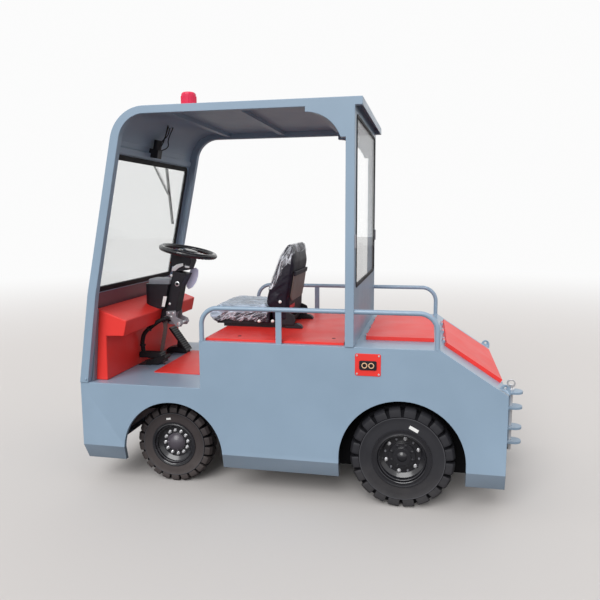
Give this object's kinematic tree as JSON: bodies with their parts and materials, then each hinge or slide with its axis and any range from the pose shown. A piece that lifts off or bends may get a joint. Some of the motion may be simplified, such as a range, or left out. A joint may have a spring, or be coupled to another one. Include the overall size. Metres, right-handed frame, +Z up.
{
  "type": "airport baggage tug",
  "caption": "Four-wheeled electric tow tractor with an open-sided cab, driver's seat on a hinged deck, side rails and a stepped rear hitch.",
  "frame": {"origin": "middle of the footprint on the ground: halfway between the front plate and the tips of the hitch plates, on the centre plane", "axes": "+X forward, +Y to the driver's left, +Z up; the wheels stand on Z = 0"},
  "size_m": [2.43, 1.162, 2.232],
  "materials": {
    "body_paint": "satin",
    "red_paint": "satin",
    "chassis_paint": "satin",
    "black_plastic": "fine grain",
    "tyre_rubber": "solid rubber, worn matt",
    "rim_paint": "satin black",
    "glass": "clear, slightly green",
    "beacon_lens": "ribbed, translucent red",
    "headlamp_glass": "fluted lens",
    "tail_lens": "red lens",
    "bright_steel": "bare, zinc plated",
    "seat_vinyl": "black vinyl",
    "battery_case": "dull grey"
  },
  "bodies": {
    "chassis": {"chassis_frame": "chassis_paint", "side_panel_left": "body_paint", "side_panel_right": "body_paint", "front_plate": "body_paint", "rear_plate": "body_paint", "floor_plate": "body_paint", "floor_hatch": "red_paint", "seat_box": "body_paint", "rear_deck": "body_paint", "dash": "red_paint", "cab_side_left": "body_paint", "cab_side_right": "body_paint", "roof": "body_paint", "screen_panel": "body_paint", "windscreen": "glass", "rear_wall": "body_paint", "rear_glass": "glass", "side_rails": "body_paint", "beacon_base": "black_plastic", "beacon_lens": "beacon_lens", "wiper": "black_plastic", "steering_column": "black_plastic", "instrument_pod": "black_plastic", "pedals": "black_plastic", "socket_plate": "red_paint", "charge_socket": "black_plastic", "headlamps": "headlamp_glass", "tail_lamps": "tail_lens", "hitch_plates": "body_paint", "front_axle": "chassis_paint", "drive_axle": "chassis_paint", "leaf_springs": "chassis_paint", "battery": "battery_case"},
    "knuckle_left": {"knuckle_left": "chassis_paint"},
    "knuckle_right": {"knuckle_right": "chassis_paint"},
    "track_rod": {"track_rod": "chassis_paint"},
    "steering_wheel": {"steering_wheel": "black_plastic"},
    "wheel_front_left": {"tyre_front_left": "tyre_rubber", "rim_front_left": "rim_paint"},
    "wheel_front_right": {"tyre_front_right": "tyre_rubber", "rim_front_right": "rim_paint"},
    "wheel_rear_left": {"tyre_rear_left": "tyre_rubber", "rim_rear_left": "rim_paint"},
    "wheel_rear_right": {"tyre_rear_right": "tyre_rubber", "rim_rear_right": "rim_paint"},
    "deck_lid": {"deck_lid": "red_paint", "seat_base": "black_plastic", "seat_cushion": "seat_vinyl", "seat_back": "seat_vinyl"},
    "rear_lid": {"rear_lid": "red_paint"},
    "slope_lid": {"slope_lid": "red_paint"},
    "hitch_pin": {"hitch_pin": "bright_steel"}
  },
  "joints": [
    {"name": "steer_left", "type": "hinge", "parent": "chassis", "child": "knuckle_left", "pos_m": [0.715, 0.32, 0.2225], "axis": [0, 0, 1], "range_deg": [-35, 35]},
    {"name": "steer_right", "type": "hinge", "parent": "chassis", "child": "knuckle_right", "pos_m": [0.715, -0.32, 0.2225], "axis": [0, 0, 1], "range_deg": [-35, 35]},
    {"name": "track_rod_pivot", "type": "hinge", "parent": "knuckle_left", "child": "track_rod", "pos_m": [0.605, 0.32, 0.1655], "axis": [0, 0, 1], "range_deg": [-35, 35]},
    {"name": "steering_wheel_turn", "type": "hinge", "parent": "chassis", "child": "steering_wheel", "pos_m": [0.786, 0, 1.284], "axis": [-0.2028, 0, 0.9792], "range_deg": [-420, 420]},
    {"name": "spin_front_left", "type": "hinge", "parent": "knuckle_left", "child": "wheel_front_left", "pos_m": [0.715, 0.472, 0.2225], "axis": [0, 1, 0], "continuous": true},
    {"name": "spin_front_right", "type": "hinge", "parent": "knuckle_right", "child": "wheel_front_right", "pos_m": [0.715, -0.472, 0.2225], "axis": [0, 1, 0], "continuous": true},
    {"name": "spin_rear_left", "type": "hinge", "parent": "chassis", "child": "wheel_rear_left", "pos_m": [-0.56, 0.554, 0.2675], "axis": [0, 1, 0], "continuous": true},
    {"name": "spin_rear_right", "type": "hinge", "parent": "chassis", "child": "wheel_rear_right", "pos_m": [-0.56, -0.554, 0.2675], "axis": [0, 1, 0], "continuous": true},
    {"name": "deck_lid_hinge", "type": "hinge", "parent": "chassis", "child": "deck_lid", "pos_m": [-0.265, 0, 0.851], "axis": [0, -1, 0], "range_deg": [0, 30]},
    {"name": "rear_lid_hinge", "type": "hinge", "parent": "chassis", "child": "rear_lid", "pos_m": [-0.348, 0, 0.851], "axis": [0, 1, 0], "range_deg": [0, 80]},
    {"name": "slope_lid_hinge", "type": "hinge", "parent": "chassis", "child": "slope_lid", "pos_m": [-0.76163, 0, 0.83713], "axis": [0, 1, 0], "range_deg": [0, 80]},
    {"name": "hitch_pin_lift", "type": "slide", "parent": "chassis", "child": "hitch_pin", "axis": [0, 0, 1], "range_m": [0, 0.35]}
  ],
  "couplings": [
    {"joint": "steer_right", "follows": "steer_left", "ratio": 1},
    {"joint": "track_rod_pivot", "follows": "steer_left", "ratio": -1},
    {"joint": "steering_wheel_turn", "follows": "steer_left", "ratio": 12}
  ]
}
